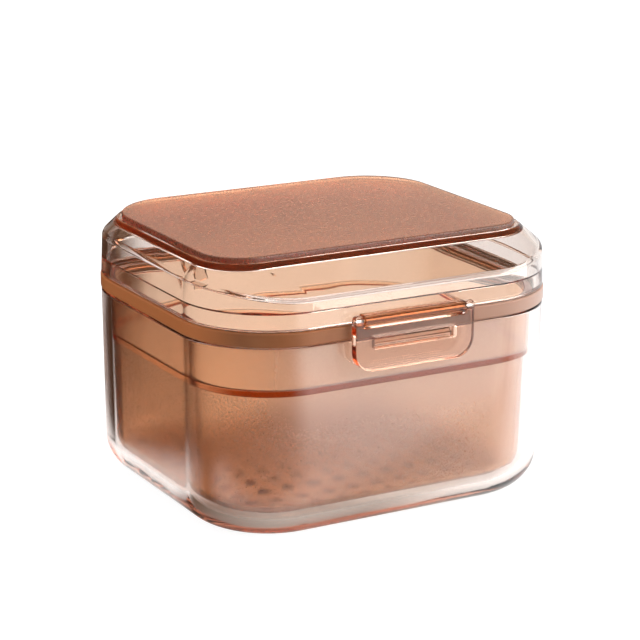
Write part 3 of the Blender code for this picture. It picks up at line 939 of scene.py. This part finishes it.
def add_latch_knuckle(shell):
    half = LATCH_HALF - CHEEK_WIDTH - PLAY
    low = LID_LOW + PLAY
    high = LATCH_Z + LATCH_RADIUS
    inner = -HALF_DEPTH + SINK
    root = [(inner, low), (inner, high), (LATCH_Y, high), (LATCH_Y, low)]
    combine(shell, mesh_object(rib(root, -half, half), "root"), "UNION")
    barrel = rod(LATCH_RADIUS, -half, half, LATCH_Y, LATCH_Z)
    combine(shell, mesh_object(barrel, "barrel"), "UNION")


def cut_pin_bores(shell):
    for radius, y, z in ((HINGE_BORE, HINGE_Y, HINGE_Z), (LATCH_BORE, LATCH_Y, LATCH_Z)):
        bore = rod(radius, -HALF_WIDTH, HALF_WIDTH, y, z)
        combine(shell, mesh_object(bore, "bore"), "DIFFERENCE")


def paint_knuckle_shade(look):
    far, near = (CASE_MIDDLE.y - HALF_DEPTH - ahead for ahead in KNUCKLE_AHEAD)
    share = look.share_along("Y", far, near, 1, 0)
    # Painted shade: a browner tone on the front knuckle.
    look.finish({"Base Color": look.mix("RGBA", share, CLEAR_TONE, KNUCKLE_PAINTED_SHADE)})


add_hinge_knuckle(lid)
add_latch_knuckle(lid)
cut_pin_bores(lid)
paint_knuckle_shade(lid_plastic)
finish_piece(lid, lid_plastic, "lid", "lid_shell")

# %% [markdown]
# The panel let into the top is frosted too, with a coarser grain, less haze and more orange
# tones than the basket, because it is a thin plate with only the clear lid behind it. It fills
# the recess with a small gap and stands a little proud of the bevels, with a rounded upper
# edge that catches the light. Its outline comes from the same function as the lid's, so the
# two always fit. It is flat, so its middle for the frost lies far below it, and everything
# that faces up or out counts as outside.

# %% Frosted panel
PANEL_LOW = 65.85 * MM
PANEL_TOP = 67.6 * MM
PANEL_ROUND = 0.5 * MM
PANEL_ROUND_STEPS = 5
PANEL_UNDER_ROUND = 0.2 * MM
PANEL_TONES = ((0.81, 0.47, 0.29, 1), (0.96, 0.68, 0.49, 1))
PANEL_DENSITY = 150
PANEL_MIDDLE = (0, CASE_MIDDLE.y, -1000 * MM)
PANEL_GRAIN = 0.6 * MM
PANEL_HAZE = 0.06
PANEL_ROUGH = 0.30


def panel_plastic():
    look, tone, clear, matt = frosted_plastic(
        "frosted amber plastic of the lid's panel", PANEL_TONES, PANEL_DENSITY, PANEL_GRAIN,
        PANEL_HAZE, PANEL_ROUGH)
    finish_frost(look, PANEL_MIDDLE, tone, clear, matt)
    return look


def build_panel():
    bm = bmesh.new()
    land = PANEL_LAND + PLAY
    under, over = (
        rounded_outline(
            bm, SIDE_BEVEL + land, FRONT_BEVEL + land, SIDE_BEVEL + land,
            FRONT_TOP_RADIUS - land, BACK_TOP_RADIUS - land, height)
        for height in (PANEL_LOW, PANEL_TOP))
    bridge_stack(bm, [under, over])
    round_edges(bm, over, PANEL_ROUND, PANEL_ROUND_STEPS)
    round_edges(bm, under, PANEL_UNDER_ROUND, EDGE_STEPS)
    return mesh_object(bm, "lid_top_panel_fine")


finish_piece(build_panel(), panel_plastic(), "lid", "lid_top_panel")

# %% [markdown]
# The latch is a flat flap with two large lower corners and a slot for the catch. Two cheeks at
# its upper corners turn beside the lid's knuckle. The flap is drawn as an outline in X and Z,
# its corners are rounded with a vertex bevel, and it is extruded to its thickness. The cheeks'
# round ends are joined to it, and the slot and the pin's bore are cut.

# %% Front latch
LATCH_BACK = -HALF_DEPTH - 0.5 * MM
LATCH_THICK = 2.3 * MM
LATCH_LOW = 41.0 * MM
LATCH_CORNER = 5.0 * MM
LATCH_EDGE = 0.35 * MM
CHEEK_ROUND = 0.6 * MM
SLOT_HALF = 11.4 * MM
SLOT_LOW = 46.3 * MM
SLOT_HIGH = 49.2 * MM
SLOT_ROUND = 0.5 * MM


def flap(outline, y_front, y_back, edge=0):
    """An outline in X and Z with rounded corners, as thick as y_front to y_back.

    Each point is (x, z, radius of the corner).
    """
    bm = bmesh.new()
    verts = [bm.verts.new((x, y_front, z)) for x, z, _ in outline]
    bm.faces.new(verts)
    for vert, (_, _, radius) in zip(verts, outline):
        if radius:
            round_corners(bm, [vert], radius, rounding_steps(2 * radius))
    drawn = bmesh.ops.extrude_face_region(bm, geom=list(bm.faces))["geom"]
    bmesh.ops.translate(bm, vec=(0, y_back - y_front, 0), verts=only(bmesh.types.BMVert, drawn))
    if edge:
        round_edges(bm, rims_across(bm, 1), edge, EDGE_STEPS)
    return bm


def build_latch():
    front = LATCH_BACK - LATCH_THICK
    inner = LATCH_HALF - CHEEK_WIDTH
    notch = LATCH_Z - LATCH_RADIUS - PLAY
    outline = [
        (-LATCH_HALF, LATCH_LOW, LATCH_CORNER), (LATCH_HALF, LATCH_LOW, LATCH_CORNER),
        (LATCH_HALF, LATCH_Z, 0), (inner, LATCH_Z, 0), (inner, notch, 0),
        (-inner, notch, 0), (-inner, LATCH_Z, 0), (-LATCH_HALF, LATCH_Z, 0)]
    latch = mesh_object(flap(outline, front, LATCH_BACK, LATCH_EDGE), "front_latch_fine")
    for low, high in ((-LATCH_HALF, -inner), (inner, LATCH_HALF)):
        cheek = rod(LATCH_RADIUS, low, high, LATCH_Y, LATCH_Z, CHEEK_ROUND)
        combine(latch, mesh_object(cheek, "cheek"), "UNION")
    slot = [
        (x, z, SLOT_ROUND) for x, z in (
            (-SLOT_HALF, SLOT_LOW), (SLOT_HALF, SLOT_LOW), (SLOT_HALF, SLOT_HIGH),
            (-SLOT_HALF, SLOT_HIGH))]
    cut = flap(slot, front - PLAY, LATCH_BACK + PLAY)
    combine(latch, mesh_object(cut, "slot"), "DIFFERENCE")
    bore = rod(LATCH_BORE, -HALF_WIDTH, HALF_WIDTH, LATCH_Y, LATCH_Z)
    combine(latch, mesh_object(bore, "bore"), "DIFFERENCE")
    return latch


finish_piece(build_latch(), latch_plastic, "latch", "front_latch")

# %% [markdown]
# Two steel pins hold the lid and the latch. They are drawn wire, so their finish is a metal
# with fine marks along its length, which a noise squeezed along X gives.

# %% Pins
PIN_HALF = 16 * MM
HINGE_PIN_RADIUS = 1.0 * MM
HINGE_PIN_EDGE = 0.2 * MM
LATCH_PIN_RADIUS = 0.55 * MM
LATCH_PIN_EDGE = 0.1 * MM
STEEL_TONES = ((0.48, 0.47, 0.46, 1), (0.68, 0.67, 0.66, 1))
STEEL_ROUGHNESS = (0.18, 0.34)
MARK_SIZE = 0.5 * MM
MARK_DETAIL = 3
MARK_STRETCH = (0.04, 1, 1)
MARK_DEPTH = 0.01 * MM
MARK_STRENGTH = 0.5


def drawn_steel():
    look = Look("drawn steel of the pins")
    marks = look.noise(MARK_SIZE, MARK_DETAIL, MARK_STRETCH)
    look.finish({
        "Base Color": look.two_tones(marks, *STEEL_TONES, span=(0, 1)),
        "Metallic": 1,
        "Roughness": look.ranged(marks, *NOISE_MIDDLE, *STEEL_ROUGHNESS)})
    look.bump(marks, MARK_DEPTH, MARK_STRENGTH)
    return look


steel = drawn_steel()
for node, body, radius, edge, y, z in (
        ("hinge_pin", "box", HINGE_PIN_RADIUS, HINGE_PIN_EDGE, HINGE_Y, HINGE_Z),
        ("latch_pin", "lid", LATCH_PIN_RADIUS, LATCH_PIN_EDGE, LATCH_Y, LATCH_Z)):
    pin = mesh_object(rod(radius, -PIN_HALF, PIN_HALF, y, z, edge), node + "_fine")
    finish_piece(pin, steel, body, node)

# %% [markdown]
# The studio is plain: a white floor and a white surrounding, and two large soft lamps. The
# camera sees pure white. Clear plastic needs dark things round it, or its edges vanish into
# the white. In the photograph the window is on the right and the room is dark on the left. So
# rays that have come off the case or through it find shade on the left and a warm tone above.
# These are directions in the room, so they stay where they are when the view changes.

# %% Surrounding
WHITE = (1, 1, 1, 1)
WORLD_LIGHT = 0.95
SHADE = (0.05, 0.022, 0.012, 1)
WARM = (0.39, 0.21, 0.12, 1)
WINDOW_SIDE = (0.87, 0, 0.5)
WINDOW_EDGE = (-0.1, 0.5)
OVERHEAD = (-0.3, 0.3, 1)
OVERHEAD_EDGE = (0.1, 0.45)


def eased(nodes, where, operation, point, low, high):
    """A share that eases from 0 to 1 while a measure of the place goes from low to high."""
    measure = nodes.vector(operation, where, point, output="Value")
    return nodes.ranged(measure, low, high, easing="SMOOTHSTEP")


def seen_rays(nodes):
    """1 for rays that see the background: from the camera, off gloss or through plastic."""
    rays = nodes.add("LightPath").outputs
    direct = nodes.number("MAXIMUM", rays["Is Camera Ray"], rays["Is Glossy Ray"])
    return nodes.number("MAXIMUM", direct, rays["Is Transmission Ray"])


def white_to_camera(nodes, tone):
    """White for the camera itself, and the tone for rays that come off the case."""
    rays = nodes.add("LightPath").outputs
    return nodes.mix("RGBA", rays["Is Camera Ray"], tone, WHITE)


def light_the_world():
    world = bpy.data.worlds.new("white studio")
    world.use_nodes = True
    nodes = Nodes(world.node_tree)
    where = nodes.add("TexCoord").outputs["Generated"]
    side = eased(nodes, where, "DOT_PRODUCT", WINDOW_SIDE, *WINDOW_EDGE)
    high = eased(nodes, where, "DOT_PRODUCT", OVERHEAD, *OVERHEAD_EDGE)
    tone = nodes.mix("RGBA", side, SHADE, nodes.mix("RGBA", high, WHITE, WARM))
    lit = nodes.add("Background", {"Color": WHITE, "Strength": WORLD_LIGHT})
    seen = nodes.add("Background", {"Color": white_to_camera(nodes, tone), "Strength": 1})
    mixed = nodes.add("MixShader", {
        0: seen_rays(nodes), 1: lit.outputs["Background"], 2: seen.outputs["Background"]})
    nodes.plug(mixed.outputs["Shader"], world.node_tree.nodes["World Output"].inputs["Surface"])
    scene.world = world


light_the_world()
print("world:", scene.world.name)

# %% [markdown]
# The floor glows white for the camera and is matt for the rest, so it's white and still takes the
# case's shadow. For those other rays it also gives off a weaker glow, a painted light that stands
# for the light a white floor throws back. Rays off the case or through it find shade at the left
# and the left front. They also find a pale painted shadow where the case stands, a darker painted
# shadow strip along its foot, and a slightly greyer painted shadow on the floor behind it. An image
# could hold these tones, but they are places in the room, which a few eased steps on the floor's
# own coordinates give.

# %% Floor
FLOOR_HALF = 3
FLOOR_LOW = -0.02 * MM
FLOOR_SHARE = 0.2
FLOOR_GLOW = 0.93
FLOOR_BOUNCE = 0.5
FROM_LEFT = (0.87, -0.49, 0)
FROM_FRONT = (0.49, 0.87, 0)
TO_RIGHT = (1, 0, 0)
LEFT_EDGE = (-80 * MM, -57 * MM)
FRONT_EDGE = (-88 * MM, -68 * MM)
RIGHT_EDGE = (-35 * MM, 30 * MM)
SHADOW_UNDER_CASE = (0.88, 0.82, 0.76, 1)
SHADOW_UNDER_CASE_EDGE = (32 * MM, 58 * MM)
SHADOW_BEHIND_CASE = (0.84, 0.85, 0.87, 1)
SHADOW_BEHIND_CASE_EDGE = (70 * MM, 120 * MM)
FOOT_SHADOW_TONE = (0.47, 0.42, 0.38, 1)
FOOT_SHADOW_LEFT_TONE = (0.12, 0.07, 0.045, 1)
FOOT_SHADOW_LEFT_EDGE = (-42 * MM, -4 * MM)
FOOT_SHADOW_AHEAD = 46 * MM
FOOT_SHADOW_EDGE = (8 * MM, 22 * MM)


def foot_shadow_tone(nodes, where, elsewhere):
    """The painted shadow strip along the foot of the case's front, darker at the left, and another
    tone elsewhere.
    """
    farther = eased(nodes, where, "DOT_PRODUCT", FROM_LEFT, *FOOT_SHADOW_LEFT_EDGE)
    strip = nodes.mix("RGBA", farther, FOOT_SHADOW_LEFT_TONE, FOOT_SHADOW_TONE)
    ahead = nodes.vector("DOT_PRODUCT", where, FROM_FRONT, output="Value")
    away = nodes.number("ABSOLUTE", nodes.number("ADD", ahead, FOOT_SHADOW_AHEAD))
    beside = nodes.ranged(away, *FOOT_SHADOW_EDGE, easing="SMOOTHSTEP")
    return nodes.mix("RGBA", beside, strip, elsewhere)


def floor_tone(nodes):
    where = nodes.place()
    left = eased(nodes, where, "DOT_PRODUCT", FROM_LEFT, *LEFT_EDGE)
    near = eased(nodes, where, "DOT_PRODUCT", FROM_FRONT, *FRONT_EDGE)
    right = eased(nodes, where, "DOT_PRODUCT", TO_RIGHT, *RIGHT_EDGE)
    lit = nodes.product(left, nodes.number("MAXIMUM", near, right))
    # Painted shadows: greyer behind the case, darker and warmer under it, and a strip along its
    # foot.
    behind = eased(nodes, where, "DOT_PRODUCT", FROM_FRONT, *SHADOW_BEHIND_CASE_EDGE)
    under = eased(nodes, where, "DISTANCE", (0, 0, 0), *SHADOW_UNDER_CASE_EDGE)
    tone = nodes.mix("RGBA", under, SHADOW_UNDER_CASE, nodes.mix("RGBA", behind, WHITE, SHADOW_BEHIND_CASE))
    return nodes.mix("RGBA", lit, SHADE, foot_shadow_tone(nodes, where, tone))


def floor_look():
    look = Look("white floor")
    look.tree.nodes.remove(look.tree.nodes["Principled BSDF"])
    shown = white_to_camera(look, floor_tone(look))
    share = look.add("VectorMath", {"Vector": shown, "Scale": FLOOR_SHARE}, operation="SCALE")
    matt = look.add("BsdfDiffuse", {"Color": share.outputs["Vector"]})
    glow = look.add("Emission", {"Color": shown, "Strength": FLOOR_GLOW})
    # Painted light: a glow for all other rays, which stands for the light that a white floor throws
    # back.
    bounce = look.add("Emission", {"Strength": FLOOR_BOUNCE})
    mixed = look.add("MixShader", {
        0: seen_rays(look), 1: bounce.outputs["Emission"], 2: glow.outputs["Emission"]})
    both = look.add("AddShader", {0: matt.outputs["BSDF"], 1: mixed.outputs["Shader"]})
    look.plug(both.outputs["Shader"], look.tree.nodes["Material Output"].inputs["Surface"])
    return look


def lay_floor():
    bm = bmesh.new()
    bmesh.ops.create_grid(bm, x_segments=1, y_segments=1, size=FLOOR_HALF)
    bmesh.ops.translate(bm, vec=(0, 0, FLOOR_LOW), verts=bm.verts)
    mesh = bpy.data.meshes.new("floor")
    bm.to_mesh(mesh)
    bm.free()
    mesh.materials.append(floor_look().material)
    floor = bpy.data.objects.new("floor", mesh)
    scene.collection.objects.link(floor)


lay_floor()
print("floor is", 2 * FLOOR_HALF, "m wide")

# %% [markdown]
# One large soft lamp stands on the right, as the window does, and one hangs above and behind.
# Area lamps are chosen because their shadows are soft, and each is turned to face the middle
# of the case. Their own mirror images are hidden, since the photograph shows the window as a
# wide, even glow and not as bright squares.

# %% Lamps
LAMPS = {
    "soft lamp on the right": {"place": (0.32, -0.27, 0.21), "size": (0.45, 0.45), "power": 3.8},
    "soft lamp above and behind": {"place": (0.10, 0.40, 0.50), "size": (0.50, 0.40), "power": 1.7}}


def hang_lamp(name, place, size, power):
    lamp = bpy.data.lights.new(name, "AREA")
    lamp.shape = "RECTANGLE"
    lamp.size, lamp.size_y = size
    lamp.energy = power
    holder = bpy.data.objects.new(name, lamp)
    holder.location = place
    holder.rotation_euler = (CAMERA_AIM - Vector(place)).to_track_quat("-Z", "Y").to_euler()
    holder.visible_glossy = False
    scene.collection.objects.link(holder)


for name, values in LAMPS.items():
    hang_lamp(name, **values)
print("lamps:", list(LAMPS))

# %% [markdown]
# Light passes up to a dozen clear surfaces on its way through the case, so Cycles is given
# enough bounces. The view transform is Standard, which shows each colour about as written.

CLEAR_BOUNCES = 32
SEE_THROUGH_BOUNCES = 12

scene.view_settings.view_transform = "Standard"
scene.cycles.max_bounces = CLEAR_BOUNCES
scene.cycles.transmission_bounces = CLEAR_BOUNCES
scene.cycles.glossy_bounces = CLEAR_BOUNCES
scene.cycles.transparent_max_bounces = SEE_THROUGH_BOUNCES
scene.cycles.use_denoising = True
